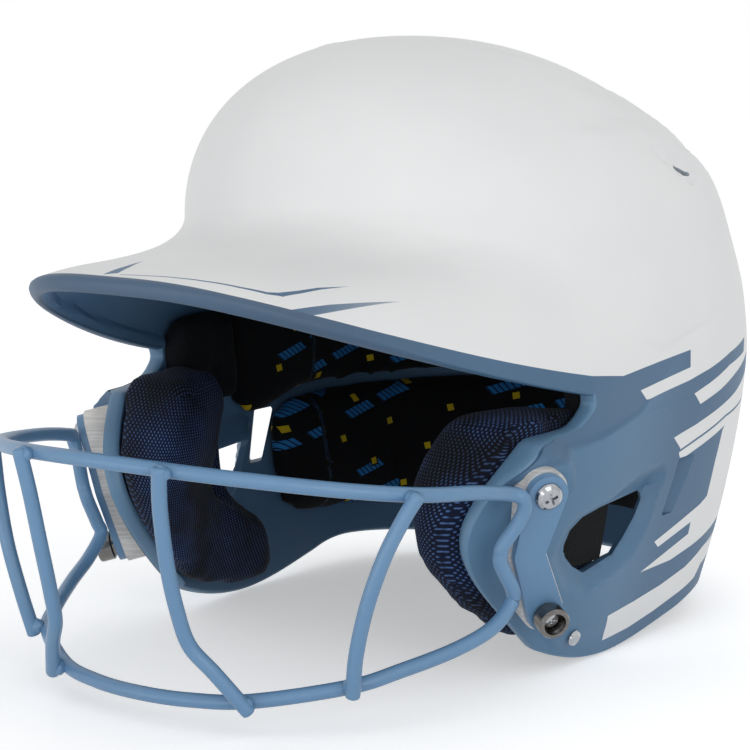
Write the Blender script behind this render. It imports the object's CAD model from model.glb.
import math
import bmesh
import bpy
import numpy as np
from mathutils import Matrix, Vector
from mathutils.geometry import tessellate_polygon
from mathutils.kdtree import KDTree


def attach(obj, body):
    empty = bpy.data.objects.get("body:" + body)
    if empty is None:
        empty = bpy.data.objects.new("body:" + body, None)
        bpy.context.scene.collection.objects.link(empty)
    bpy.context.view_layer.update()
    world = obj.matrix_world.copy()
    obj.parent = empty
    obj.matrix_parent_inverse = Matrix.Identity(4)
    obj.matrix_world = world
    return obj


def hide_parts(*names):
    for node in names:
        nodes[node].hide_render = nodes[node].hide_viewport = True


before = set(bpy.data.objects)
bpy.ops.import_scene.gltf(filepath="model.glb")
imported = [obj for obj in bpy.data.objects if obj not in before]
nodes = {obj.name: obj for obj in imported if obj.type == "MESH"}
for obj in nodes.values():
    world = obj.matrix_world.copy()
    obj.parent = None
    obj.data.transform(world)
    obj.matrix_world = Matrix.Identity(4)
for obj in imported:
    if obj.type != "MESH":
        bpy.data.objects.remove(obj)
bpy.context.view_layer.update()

pi = math.pi

# small tools
def linear(hexColour):
    # sRGB hex to linear RGBA
    c = np.array([int(hexColour[i:i + 2], 16) / 255 for i in (1, 3, 5)])
    c = np.where(c <= 0.04045, c / 12.92, ((c + 0.055) / 1.055) ** 2.4)
    return (float(c[0]), float(c[1]), float(c[2]), 1.0)


def smooth(x):
    x = np.clip(x, 0, 1)
    return x * x * (3 - 2 * x)


def unit(v):
    v = np.asarray(v, float)
    return v / np.maximum(np.linalg.norm(v, axis=-1, keepdims=True), 1e-9)


# shapes are worked out in mm from the midpoint between the guard's upper screws, +X the wearer's left
screwPlace = np.array([0.0, -59.0, 72.2])


def metres(points):
    return (np.asarray(points, float).reshape(-1, 3) + screwPlace) * 0.001


def addObject(name, data):
    obj = bpy.data.objects.new(name, data)
    bpy.context.scene.collection.objects.link(obj)
    return obj


def newPiece(name, points, faces, materials=(), smoothAngle=40):
    mesh = bpy.data.meshes.new(name)
    mesh.from_pydata(metres(points).tolist(), [], list(faces))
    mesh.update()
    obj = addObject(name, mesh)
    for m in materials:
        mesh.materials.append(m)
    shade(obj, smoothAngle)
    return obj


def shade(obj, angle=40):
    obj.data.polygons.foreach_set("use_smooth", [True] * len(obj.data.polygons))
    obj.data.set_sharp_from_angle(angle=math.radians(angle))


def shareGrid(rows, cols, low=0):
    # two grids of shares, down the rows and along the columns
    return np.meshgrid(np.linspace(low, 1, rows + 1), np.linspace(low, 1, cols + 1), indexing="ij")


def gridFaces(rows, cols, start=0, wrap=False):
    # quads of a rows x cols grid of points; wrap joins the last column to the first
    i, j = np.meshgrid(np.arange(rows - 1), np.arange(cols if wrap else cols - 1), indexing="ij")
    a = i * cols + j
    b = i * cols + (j + 1) % cols
    return np.stack([a, b, b + cols, a + cols], -1).reshape(-1, 4) + start


def tubeFaces(k):
    # a ring of k points carried to a second ring: both caps and the sides
    sides = [(i, i + k, (i + 1) % k + k, (i + 1) % k) for i in range(k)]
    return [tuple(range(k)), tuple(range(2 * k - 1, k - 1, -1))] + sides


def keep(obj, replaced=()):
    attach(obj, "root")
    if replaced:
        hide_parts(*replaced)
    return obj


def toMesh(obj):
    # applies the live modifiers
    bpy.context.view_layer.update()
    dg = bpy.context.evaluated_depsgraph_get()
    done = bpy.data.meshes.new_from_object(obj.evaluated_get(dg), preserve_all_data_layers=True, depsgraph=dg)
    obj.modifiers.clear()
    old = obj.data
    obj.data = done
    bpy.data.meshes.remove(old)
    return obj


def valuesOf(items, key, width=1, kind=np.float32):
    # one property of all a mesh's vertices, loops or faces
    out = np.zeros(len(items) * width, kind)
    items.foreach_get(key, out)
    return out.reshape(-1, width) if width > 1 else out


def pointsOf(obj):
    return valuesOf(obj.data.vertices, "co", 3).astype(float) * 1000 - screwPlace


def setPlaces(obj, places):
    obj.data.vertices.foreach_set("co", places.astype(np.float32).reshape(-1))


def keepPlan(obj, name, plan):
    # plan coordinates in mm of each face corner, kept in metres
    obj.data.uv_layers.new(name=name).data.foreach_set("uv", (plan * 0.001).astype(np.float32).reshape(-1))


# materials
def addNode(tree, kind, inputs=(), **settings):
    # one node: settings are its attributes; inputs go in by place or name, each a number, a hex colour,
    # a node (its first output) or (node, output name)
    node = tree.nodes.new("ShaderNode" + kind)
    for key, value in settings.items():
        setattr(node, key, value)
    for key, value in inputs.items() if isinstance(inputs, dict) else enumerate(inputs):
        if isinstance(value, bpy.types.Node):
            tree.links.new(next(o for o in value.outputs if o.enabled), node.inputs[key])
        elif isinstance(value, tuple) and isinstance(value[0], bpy.types.Node):
            tree.links.new(value[0].outputs[value[1]], node.inputs[key])
        else:
            node.inputs[key].default_value = linear(value) if isinstance(value, str) else value
    return node


def newMaterial(name):
    m = bpy.data.materials.new(name)
    m.use_nodes = True
    m.node_tree.nodes.clear()
    return m, m.node_tree


def finishMaterial(tree, inputs):
    # principled shader with constants on its own sockets, and patterns linked where there are some
    addNode(tree, "OutputMaterial", [addNode(tree, "BsdfPrincipled", inputs)])


def convexPieces(corners):
    # a simple polygon as convex pieces: its triangles, joined while the sum stays convex
    rings = [list(t) for t in tessellate_polygon([[Vector((x, y, 0)) for x, y in corners]])]
    c = np.array(corners, float)

    def turns(r):
        n = len(r)
        return [float(np.cross(c[r[(k + 1) % n]] - c[r[k]], c[r[(k + 2) % n]] - c[r[(k + 1) % n]])) for k in range(n)]
    rings = [r if sum(turns(r)) > 0 else r[::-1] for r in rings]
    joined = True
    while joined:
        joined = False
        for i in range(len(rings)):
            for j in range(i + 1, len(rings)):
                a, b = rings[i], rings[j]
                shared = [(k, b.index(a[k])) for k in range(len(a)) if a[k] in b and a[(k + 1) % len(a)] in b
                          and (b.index(a[k]) - b.index(a[(k + 1) % len(a)])) % len(b) == 1]
                if len(shared) != 1:
                    continue
                k, m = shared[0]
                union = a[k + 1:] + a[:k + 1] + [b[(m + 1 + n) % len(b)] for n in range(len(b) - 2)]
                if min(turns(union)) > -1e-6:
                    rings[i] = union
                    del rings[j]
                    joined = True
                    break
            if joined:
                break
    return rings


def insidePolygon(tree, plan, corners, soft=0.06):
    # 1 inside a polygon of the plan's first two coordinates: over its convex pieces, the greatest of the least
    # of the half planes, each a dot product; edges that two pieces share reach 0.15 mm further, so no seam shows
    c = np.array(corners, float)
    best = None
    for ring in convexPieces(corners):
        least = None
        for k in range(len(ring)):
            i, j = ring[k], ring[(k + 1) % len(ring)]
            d = c[j] - c[i]
            n = np.array([-d[1], d[0]]) / math.hypot(*d)
            reach = 0.0 if (i - j) % len(c) in (1, len(c) - 1) else 0.15
            dot = addNode(tree, "VectorMath", [plan, (n[0], n[1], reach - float(n @ c[i]))], operation="DOT_PRODUCT")
            least = dot if least is None else addNode(tree, "Math", [least, dot], operation="MINIMUM")
        best = least if best is None else addNode(tree, "Math", [best, least], operation="MAXIMUM")
    return addNode(tree, "Math", [best, 0.5 / soft, 0.5], operation="MULTIPLY_ADD", use_clamp=True)


def insideAny(tree, plan, outlines):
    # the greatest over several polygons
    masks = [insidePolygon(tree, plan, corners) for corners in outlines]
    best = masks[0]
    for mask in masks[1:]:
        best = addNode(tree, "Math", [best, mask], operation="MAXIMUM")
    return best


# outlines of the blue paint on one side, in mm along the side and up; behind 113 the first runs round the back
paintBlue = [
    [(-90, 39.5), (23, 38.4), (33.4, 37.1), (45.9, 35.7), (55.7, 34.5), (68.2, 27.7), (73.1, 23.6), (104.9, 26.6),
     (120.4, 29.1), (138.5, 33), (162.2, 36), (160.7, 30.5), (139.3, 28.2), (121.3, 23.5), (109.8, 21), (115.1, 16.3),
     (130.8, 19.6), (146.8, 23.7), (170, 28.5), (196, 32), (176, 22.5), (149.4, 16.1), (132.5, 12.8), (113.2, 8.8),
     (96.5, 6.3), (102.8, 1.2), (102.1, -0.6), (104, -3.4), (118.6, -0.3), (139.8, 4.6), (138.1, 2.9), (134.5, -8.7),
     (131.8, -21.9), (126.4, -24.2), (109.9, -28.8), (93.5, -33.1), (97.3, -35.8), (120.9, -30.3), (120.7, -35),
     (86.7, -43.7), (109.7, -43.3), (124.8, -40.6), (141.2, -37.5), (152.4, -35.5), (175, -33.5), (300, -33.5),
     (300, -38), (175, -38.5), (138.9, -43.5), (123.2, -49), (105.9, -52.5), (86.8, -54.9), (67.2, -56.4),
     (69.3, -66.6), (87, -65.4), (104.8, -62.7), (122.8, -59), (136.8, -55.9), (142.1, -51.4), (160, -48.6),
     (300, -48.6), (300, -90), (-90, -90)],
    [(54.9, 33.9), (55.7, 34.5), (104.9, 38.1), (105.3, 31.5), (68.2, 27.7), (67.4, 27.0)],
    [(101.8, 0.6), (119.9, 4.4), (139.1, 8.7), (163.7, 10.9), (176, 12.3), (163.7, 9.9), (139.1, 7.8), (119.9, 3.5),
     (102.6, -0.1)],
]
visorArt = [  # thin painted lines and wedges on top of the visor, in x and y mm
    [(2.7, -99.3), (13.4, -97.0), (22.9, -93.6), (30.1, -90.0), (39.4, -83.9), (46.3, -78.2), (45.6, -76.9),
     (39.2, -82.6), (30.0, -88.8), (22.8, -92.6), (13.3, -96.2), (2.7, -98.6)],
    [(46.3, -78.2), (49.4, -73.8), (51.0, -65.8), (52.4, -57.2), (55.4, -45.5), (51.2, -57.2), (49.4, -65.9),
     (47.4, -73.4), (45.6, -76.9)],
    [(-3.2, -100.4), (0.4, -97.2), (-3.3, -87.2), (-10.6, -71.5), (-6.5, -84.5)],
]
visorWedge = [(50.5, -84), (54.4, -76.1), (56.3, -68.5), (58.5, -60.6), (67.3, -33.9), (57.6, -74.5), (62, -86)]
paintForm = {"white": ("#dfe0e1", "#e8e9e9"), "blue": ("#42627f", "#486a89"), "flap": ("#4c718f", "#527797"),
             "visorEdge": ("#3d556d", "#435c76"), "stripSharpness": 8.0}


def shellPaint():
    # satin two-colour paint over ABS: white crown, steel-blue bands with hard masked edges, faint orange peel
    m, t = newMaterial("satinPaintOnAbs")
    co = (addNode(t, "TexCoord"), "Object")
    plan = addNode(t, "VectorMath", [addNode(t, "UVMap", uv_map="paintPlan"), (1000, 1000, 0), (0, 0, 1)],
                   operation="MULTIPLY_ADD")
    top = addNode(t, "VectorMath", [co, (1000, 1000, 0), (0, 59, 1)], operation="MULTIPLY_ADD")
    # kept on the mesh: distance past the strip along the visor's edge, share of the visor's front, lighter flap
    rim, front, lighter = ((addNode(t, "Attribute", attribute_name=kept), "Fac")
                           for kept in ("rimDistance", "visorPart", "flapPart"))
    strip = addNode(t, "Math", [rim, -paintForm["stripSharpness"], 0.5], operation="MULTIPLY_ADD", use_clamp=True)
    mask = addNode(t, "Math", [insideAny(t, plan, paintBlue), strip], operation="MAXIMUM")
    # the wedge that leaves the visor's edge is on both sides, the other art on one
    apart = addNode(t, "SeparateXYZ", [top])
    folded = addNode(t, "CombineXYZ", [addNode(t, "Math", [(apart, "X")], operation="ABSOLUTE"), (apart, "Y"), 1.0])
    art = addNode(t, "Math", [insideAny(t, top, visorArt), insidePolygon(t, folded, visorWedge)], operation="MAXIMUM")
    art = addNode(t, "Math", [art, front], operation="MULTIPLY")
    mask = addNode(t, "Math", [mask, art], operation="MAXIMUM")
    # tone of the paint drifts a little over the moulding, a few cm to a patch
    drift = addNode(t, "TexNoise", {"Vector": co, "Scale": 22.0, "Detail": 2.0})
    white, blue, flap, edge = (addNode(t, "Mix", {0: drift, 6: dark, 7: light}, data_type="RGBA")
                               for dark, light in (paintForm[k] for k in ("white", "blue", "flap", "visorEdge")))
    blue = addNode(t, "Mix", {0: lighter, 6: blue, 7: flap}, data_type="RGBA")
    edgeShare = addNode(t, "Math", [strip, front], operation="MULTIPLY")
    blue = addNode(t, "Mix", {0: edgeShare, 6: blue, 7: edge}, data_type="RGBA")
    colour = addNode(t, "Mix", {0: mask, 6: white, 7: blue}, data_type="RGBA")
    # orange peel about 1.5 mm across
    peel = addNode(t, "TexNoise", {"Vector": co, "Scale": 650.0, "Detail": 2.0})
    rough = addNode(t, "MapRange", {"Value": peel, "To Min": 0.46, "To Max": 0.58})
    bump = addNode(t, "Bump", {"Strength": 0.03, "Distance": 0.0004, "Height": peel})
    finishMaterial(t, {"Base Color": colour, "Roughness": rough, "IOR": 1.5, "Normal": bump})
    return m


def mouldedBlue(name, dark, light, roughLow, roughHigh):
    # bare injection-moulded ABS: even colour through the plastic, fine spark-eroded grain of about 0.5 mm
    m, t = newMaterial(name)
    co = (addNode(t, "TexCoord"), "Object")
    drift = addNode(t, "TexNoise", {"Vector": co, "Scale": 30.0, "Detail": 3.0})
    colour = addNode(t, "Mix", {0: drift, 6: dark, 7: light}, data_type="RGBA")
    grain = addNode(t, "TexNoise", {"Vector": co, "Scale": 1800.0, "Detail": 1.0})
    rough = addNode(t, "MapRange", {"Value": grain, "To Min": roughLow, "To Max": roughHigh})
    bump = addNode(t, "Bump", {"Strength": 0.08, "Distance": 0.0002, "Height": grain})
    finishMaterial(t, {"Base Color": colour, "Roughness": rough, "IOR": 1.52, "Normal": bump})
    return m


def coatedSteel(name, dark, light):
    # powder-coated steel: thick soft-looking coat with orange peel about 1 mm across and a satin gloss
    m, t = newMaterial(name)
    co = (addNode(t, "TexCoord"), "Object")
    drift = addNode(t, "TexNoise", {"Vector": co, "Scale": 60.0, "Detail": 3.0})
    colour = addNode(t, "Mix", {0: drift, 6: dark, 7: light}, data_type="RGBA")
    peel = addNode(t, "TexNoise", {"Vector": co, "Scale": 900.0, "Detail": 2.0})
    lumps = addNode(t, "TexNoise", {"Vector": co, "Scale": 260.0, "Detail": 2.0})
    rough = addNode(t, "MapRange", {"Value": peel, "To Min": 0.30, "To Max": 0.42})
    both = addNode(t, "Math", [peel, lumps], operation="ADD")
    bump = addNode(t, "Bump", {"Strength": 0.22, "Distance": 0.0004, "Height": both})
    finishMaterial(t, {"Base Color": colour, "Roughness": rough, "IOR": 1.5, "Normal": bump})
    return m


def brushedMetal(name, dark, light, rough, streak):
    # plated or cast metal with fine scratches running one way; streak is their number in a metre each way
    m, t = newMaterial(name)
    lie = addNode(t, "Mapping", {"Vector": (addNode(t, "TexCoord"), "Object"), "Scale": streak})
    lines = addNode(t, "TexNoise", {"Vector": lie, "Scale": 1.0, "Detail": 3.0})
    colour = addNode(t, "Mix", {0: lines, 6: dark, 7: light}, data_type="RGBA")
    rough = addNode(t, "MapRange", {"Value": lines, "To Min": rough[0], "To Max": rough[1]})
    bump = addNode(t, "Bump", {"Strength": 0.05, "Distance": 0.0002, "Height": lines})
    finishMaterial(t, {"Base Color": colour, "Metallic": 1.0, "Roughness": rough, "Normal": bump})
    return m


def spacerPlastic():
    # light grey moulded spacer, its cut edge brushed by the saw: streaks about 1 mm apart
    m, t = newMaterial("brushedGreyNylon")
    co = (addNode(t, "TexCoord"), "Object")
    lie = addNode(t, "Mapping", {"Vector": co, "Scale": (60.0, 60.0, 1400.0)})
    lines = addNode(t, "TexNoise", {"Vector": lie, "Scale": 1.0, "Detail": 3.0})
    wide = addNode(t, "TexNoise", {"Vector": co, "Scale": 90.0, "Detail": 2.0})
    both = addNode(t, "Math", [lines, wide], operation="MULTIPLY")
    spread = addNode(t, "Math", [both, 2.4], operation="MULTIPLY", use_clamp=True)
    colour = addNode(t, "Mix", {0: spread, 6: "#9d9a97", 7: "#e2e0dd"}, data_type="RGBA")
    bump = addNode(t, "Bump", {"Strength": 0.1, "Distance": 0.0003, "Height": lines})
    finishMaterial(t, {"Base Color": colour, "Metallic": 0.15, "Roughness": 0.42, "IOR": 1.53, "Normal": bump})
    return m


def dotMesh():
    # warp-knit spacer mesh over navy foam: glints of pale yarn 1.8 mm apart in staggered rows about 1 mm apart
    m, t = newMaterial("warpKnitMesh")
    co = (addNode(t, "TexCoord"), "Object")
    plan = addNode(t, "VectorMath", [addNode(t, "UVMap", uv_map="clothPlan"), (1000, 1000, 0)], operation="MULTIPLY")
    apart = addNode(t, "SeparateXYZ", [plan])
    waves = []
    for axis, pitch in (("X", 1.8), ("Y", 2.1)):
        turn = addNode(t, "Math", [(apart, axis), 2 * pi / pitch], operation="MULTIPLY")
        waves.append(addNode(t, "Math", [turn], operation="COSINE"))
    dots = addNode(t, "Math", waves, operation="MULTIPLY")
    spot = addNode(t, "MapRange", {"Value": dots, "From Min": 0.20, "From Max": 0.75})
    patch = addNode(t, "TexNoise", {"Vector": co, "Scale": 45.0, "Detail": 3.0})
    fleck = addNode(t, "TexNoise", {"Vector": co, "Scale": 700.0, "Detail": 1.0})
    tone = addNode(t, "MapRange", {"Value": patch, "From Min": 0.35, "From Max": 0.65})
    ground = addNode(t, "Mix", {0: tone, 6: "#05060a", 7: "#0a1530"}, data_type="RGBA")
    grey, blue = (addNode(t, "Mix", {0: fleck, 6: dark, 7: light}, data_type="RGBA")
                  for dark, light in (("#23304a", "#3b4a66"), ("#4467a0", "#6486bd")))
    glint = addNode(t, "Mix", {0: tone, 6: grey, 7: blue}, data_type="RGBA")
    strength = addNode(t, "Math", [spot, 0.8], operation="MULTIPLY")
    colour = addNode(t, "Mix", {0: strength, 6: ground, 7: glint}, data_type="RGBA")
    bump = addNode(t, "Bump", {"Strength": 0.5, "Distance": 0.0006, "Height": spot})
    finishMaterial(t, {"Base Color": colour, "Roughness": 0.82, "Specular IOR Level": 0.15, "Sheen Weight": 0.03,
                       "Sheen Roughness": 0.5, "Normal": bump})
    return m


def printedLining():
    # black brushed polyester over foam, printed with a scatter of blue dashes 19 mm long and small yellow lozenges
    m, t = newMaterial("printedBrushedPolyester")
    co = (addNode(t, "TexCoord"), "Object")
    plan = addNode(t, "UVMap", uv_map="clothPlan")
    layers = []  # cells of mm by mm, turned and shifted; in each the distances from its middle
    for size, turned, shift in (((26, 11), 0.5, (0, 0, 0)), ((24, 19), -0.62, (0.3, 0.2, 0))):
        lie = addNode(t, "Mapping", {"Vector": plan, "Location": shift, "Rotation": (0, 0, turned),
                                     "Scale": (1000.0 / size[0], 1000.0 / size[1], 1.0)})
        apart = addNode(t, "SeparateXYZ", [addNode(t, "VectorMath", [lie], operation="FRACTION")])
        offsets = [addNode(t, "Math", [(apart, axis), 0.5], operation="SUBTRACT") for axis in ("X", "Y")]
        x, y = (addNode(t, "Math", [offset], operation="ABSOLUTE") for offset in offsets)
        layers.append((lie, apart, x, y))
    lie, apart, x, y = layers[0]
    gap = addNode(t, "Math", [(apart, "X"), 0.06], operation="PINGPONG")
    pick = addNode(t, "TexWhiteNoise", {"Vector": addNode(t, "VectorMath", [lie], operation="FLOOR")})
    tests = [addNode(t, "Math", [v, limit], operation=kind) for v, limit, kind in
             ((x, 0.36, "LESS_THAN"), (y, 0.15, "LESS_THAN"), (gap, 0.014, "GREATER_THAN"), (pick, 0.5, "LESS_THAN"))]
    dash = tests[0]
    for test in tests[1:]:
        dash = addNode(t, "Math", [dash, test], operation="MULTIPLY")
    spread = addNode(t, "Math", [layers[1][2], layers[1][3]], operation="ADD")
    lozenge, clear = (addNode(t, "Math", [spread, limit], operation="LESS_THAN") for limit in (0.10, 0.15))
    nap = addNode(t, "TexNoise", {"Vector": co, "Scale": 1400.0, "Detail": 2.0})
    ground = addNode(t, "Mix", {0: nap, 6: "#08090b", 7: "#141518"}, data_type="RGBA")
    colour = addNode(t, "Mix", {0: dash, 6: ground, 7: "#2b78b8"}, data_type="RGBA")
    colour = addNode(t, "Mix", {0: clear, 6: colour, 7: ground}, data_type="RGBA")
    colour = addNode(t, "Mix", {0: lozenge, 6: colour, 7: "#c9ad20"}, data_type="RGBA")
    bump = addNode(t, "Bump", {"Strength": 0.35, "Distance": 0.0004, "Height": nap})
    finishMaterial(t, {"Base Color": colour, "Roughness": 0.9, "Specular IOR Level": 0.15, "Sheen Weight": 0.03,
                       "Sheen Roughness": 0.5, "Normal": bump})
    return m


def plainFabric(name, dark, light, scale):
    # black knitted polyester: threads drawn 0.7 mm apart, a little coarser than they are so that they show; the
    # tape's loops stand 1.3 mm apart
    m, t = newMaterial(name)
    co = (addNode(t, "TexCoord"), "Object")
    nap = addNode(t, "TexVoronoi", {"Vector": co, "Scale": scale})
    wide = addNode(t, "TexNoise", {"Vector": co, "Scale": 80.0, "Detail": 3.0})
    tone = addNode(t, "Math", [nap, wide], operation="MULTIPLY")
    lift = addNode(t, "Math", [tone, 2.5], operation="MULTIPLY", use_clamp=True)
    colour = addNode(t, "Mix", {0: lift, 6: dark, 7: light}, data_type="RGBA")
    bump = addNode(t, "Bump", {"Strength": 0.4, "Distance": 0.0004, "Height": nap})
    finishMaterial(t, {"Base Color": colour, "Roughness": 0.92, "Specular IOR Level": 0.15, "Sheen Weight": 0.02,
                       "Sheen Roughness": 0.5, "Normal": bump})
    return m


paint = shellPaint()
rimBlue = mouldedBlue("satinBlueAbsRim", "#5a7d9b", "#6186a4", 0.42, 0.55)
innerBlue = mouldedBlue("bareBlueAbs", "#52769a", "#597e9f", 0.5, 0.62)
steelBlue = coatedSteel("powderCoatedSteel", "#5f86aa", "#698fb3")
plateBlue = coatedSteel("powderCoatedPlate", "#5c82a6", "#658bae")
chrome = brushedMetal("chromePlate", "#85878b", "#c2c4c8", (0.1, 0.22), (900.0, 900.0, 120.0))
darkNickel = brushedMetal("blackNickelPlate", "#5c5a58", "#8a8784", (0.16, 0.3), (200.0, 200.0, 1500.0))
zinc = brushedMetal("zincPlate", "#8f9297", "#c0c3c8", (0.3, 0.45), (500.0, 500.0, 500.0))
bareSteel = brushedMetal("brightRivet", "#96989c", "#cdcfd2", (0.14, 0.26), (700.0, 700.0, 200.0))
spacerGrey = spacerPlastic()
meshCloth = dotMesh()
liningCloth = printedLining()
plainCloth = plainFabric("blackTricot", "#060709", "#16181c", 1500.0)
hookTape = plainFabric("hookAndLoopTape", "#050506", "#0e0f10", 800.0)
print("materials made")

# shell surface: rings of half width, half length and centre, swept down to a visor edge, with side flaps below
shellForm = {
    "halfWidth": 103.0, "halfLength": 114.0, "rise": 94.5, "lean": 0.448, "wall": 4.2, "lip": 5.8, "flange": 6.6,
    "visorReach": 105.0, "visorTip": 77.5, "ringLevel": 57.5, "ringCentre": 113.4, "belt": 29.5, "power": 2.124,
    "sideTaper": 0.10, "rearTaper": 0.21, "lowLean": 22.0, "visorPlanPower": 2.88, "visorDropPower": 2.86,
    "visorSag": 51.7, "cornerTurn": -36, "domeEndFront": 97, "domeEndCorner": 80, "lipBand": 6, "flangeBand": 5.5,
    "lipRound": 2.2, "flangeRound": 1.0}
# front edges of the flaps, how the wall draws in toward them, and the levels of the flaps' edges
flapForm = {
    "noseBack": 47.5, "noseWaist": 34.6, "noseLevel": -13, "noseOpening": 1.367, "noseTop": 17, "drawIn": 18.5,
    "drawLevel": -20, "drawSpread": 38, "drawRun": 65, "run": 110, "cornerY": 36.5, "toe": -62, "bottom": -72,
    "notchEnd": 0.28, "notchShares": [0, 0.045, 0.065, 0.10, 0.14, 0.18, 0.28],
    "notchY": [37.2, 36.6, 33.4, 28.8, 24.4], "notchZ": [26.8, 25.2, 22.3, 19.6, 18.6]}
grid = {"visorColumns": 40, "beltColumns": 96, "domeRows": 42, "sweepRows": 32, "flapRows": 84, "edgeSteps": 8}
sf, ff = shellForm, flapForm


def ringCentre(z):
    up = np.asarray(z, float) - sf["ringLevel"]
    low = sf["ringCentre"] + sf["lean"] * sf["lowLean"] * np.tanh(-up / sf["lowLean"])
    return np.where(up > 0, sf["ringCentre"] - sf["lean"] * up, low)


def ringSize(z, full, taper):
    # half width or half length of the ring at a height: superelliptic above the ring level, tapered below
    up = np.asarray(z, float) - sf["ringLevel"]
    shrink = (1 - np.clip(up / sf["rise"], 0, 1) ** sf["power"]) ** (1 / sf["power"])
    return np.where(up > 0, full * shrink, full * (1 - taper * (up / 100) ** 2))


def halfWidth(z):
    return ringSize(z, sf["halfWidth"], sf["sideTaper"])


def halfLength(z):
    return ringSize(z, sf["halfLength"], sf["rearTaper"])


def domePoint(turn, z):
    # an ellipse at every height
    return np.stack([halfWidth(z) * np.cos(turn), ringCentre(z) + halfLength(z) * np.sin(turn), z + 0 * turn], -1)


def crownPoint(turn, lift):
    # the dome by its angle of lift, 90 degrees at the crown
    g = np.clip(np.cos(lift), 0, None) ** (2 / sf["power"])
    z = sf["rise"] * np.sin(lift) ** (2 / sf["power"])
    y = sf["ringCentre"] - sf["lean"] * z + sf["halfLength"] * g * np.sin(turn)
    return np.stack([sf["halfWidth"] * g * np.cos(turn), y, sf["ringLevel"] + z], -1)


def noseY(z):
    # front edge of a flap: a hyperbola in side view
    lift = (np.asarray(z, float) - ff["noseLevel"]) * ff["noseOpening"]
    return -ff["noseBack"] + np.sqrt(ff["noseWaist"] ** 2 + lift ** 2)


def wallX(y, z):
    # straight side walls, drawn in toward the flap's front edge by the cube of the distance
    draw = ff["drawIn"] * np.exp(-((z - ff["drawLevel"]) / ff["drawSpread"]) ** 2)
    return halfWidth(z) - draw * np.clip(1 - (y - noseY(z)) / ff["drawRun"], 0, None) ** 3


def wallPoint(e, z):
    # e below 0 is a length forward of the ring's centre over 110, above 0 an angle round the back
    z, e = np.broadcast_arrays(np.asarray(z, float), np.asarray(e, float))
    turned = np.maximum(e, 0)
    y = np.where(e < 0, ringCentre(z) + ff["run"] * e, ringCentre(z) + halfLength(z) * np.sin(turned))
    x = np.where(e < 0, wallX(y, z), halfWidth(z) * np.cos(turned))
    return np.stack([x, y, z], -1)


cornerY = ff["cornerY"]
cornerE = (cornerY - float(ringCentre(sf["belt"]))) / ff["run"]
cornerX = float(wallX(cornerY, sf["belt"]))


def visorEdge(s):
    x = cornerX * s
    y = -sf["visorReach"] + (cornerY + sf["visorReach"]) * np.abs(s) ** sf["visorPlanPower"]
    drop = (sf["visorTip"] - sf["belt"]) * np.abs(s) ** sf["visorDropPower"]
    z = sf["visorTip"] - drop - sf["visorSag"] * s ** 4 * (1 - s)
    return np.stack([x, y, z], -1)


def columnsOf(a, b):
    # a runs 0 to 1 over half the visor, b 0 to 1 from its corner to the back
    onVisor = b <= 0
    corner = sf["cornerTurn"]
    toBack = math.radians(corner) + math.radians(90 - corner) * b
    turn = np.where(onVisor, -pi / 2 + math.radians(90 + corner) * a, toBack)
    e = cornerE + (pi / 2 - cornerE) * b
    end = np.where(onVisor[..., None], visorEdge(a), wallPoint(e, sf["belt"] + 0 * b))
    front, side = sf["domeEndFront"], sf["domeEndCorner"]
    top = np.where(onVisor, front - (front - side) * a ** 2, side - (side - sf["ringLevel"]) * np.clip(b * 2.2, 0, 1))
    return onVisor, turn, e, end, top


def sweepPoints(a, b, h, arrive):
    # cubic sweep from the dome's last ring to the edge that keeps both directions; h is the share of the way
    onVisor, turn, e, end, top = columnsOf(a, b)
    start = domePoint(turn, top)
    fall = unit(domePoint(turn, top - 0.5) - start)
    reach = np.linalg.norm(end - start, axis=-1)[:, None]
    down = unit(wallPoint(e, sf["belt"] - 0.5 + 0 * b) - wallPoint(e, sf["belt"] + 0 * b))
    downCorner = unit(wallPoint(cornerE, sf["belt"] - 0.5) - wallPoint(cornerE, sf["belt"]))
    m = smooth(a)[:, None] ** 3
    brow = unit(np.stack([0.5 * np.sin(a * pi / 2), -np.cos(a * pi / 2) * 0.9 - 0.1, -0.17 - 0.4 * a ** 2], -1))
    leave = np.where(onVisor[:, None], unit(brow * (1 - m) + downCorner * m), down)
    return (2 * h ** 3 - 3 * h ** 2 + 1) * start + (h ** 3 - 2 * h ** 2 + h) * fall * reach * 0.85 \
        + (3 * h ** 2 - 2 * h ** 3) * end + (h ** 3 - h ** 2) * leave * reach * arrive


def upperPoints(a, b, domeT, sweepT):
    # dome rows down to the height top, then the sweep
    columns = columnsOf(a, b)
    turn, top = columns[1], columns[4]
    low = np.arcsin(((top - sf["ringLevel"]) / sf["rise"]) ** (sf["power"] / 2))
    lift = pi / 2 + (low[None] - pi / 2) * domeT[:, None]
    arrive = (0.9 + 0.35 * (1 - smooth(a / 0.9)))[:, None]
    return np.concatenate([crownPoint(turn, lift), sweepPoints(a, b, sweepT[:, None, None], arrive)], 0)


def frontEdge(t):
    # corner of the face opening, its notch, then the flap's nose down to the toe
    z = ff["noseTop"] + (ff["toe"] - ff["noseTop"]) * np.clip((t - ff["notchEnd"]) / (1 - ff["notchEnd"]), 0, 1)
    y = np.interp(t, ff["notchShares"], [cornerY] + ff["notchY"] + [float(noseY(ff["noseTop"]))])
    high = np.interp(t, ff["notchShares"], [sf["belt"]] + ff["notchZ"] + [ff["noseTop"]])
    return np.where((t < ff["notchEnd"])[:, None], np.stack([y, high], -1), np.stack([noseY(z), z], -1))


def bottomZ(e):
    y = float(ringCentre(-70.0)) + ff["run"] * np.minimum(e, 0)
    curl = 0.0049 * np.clip(75 - y, 0, None) ** 2
    return ff["bottom"] + curl + 10 * smooth((e + 0.45) / 0.75) - 3 * smooth((e - 0.3) / 0.9)


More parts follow.
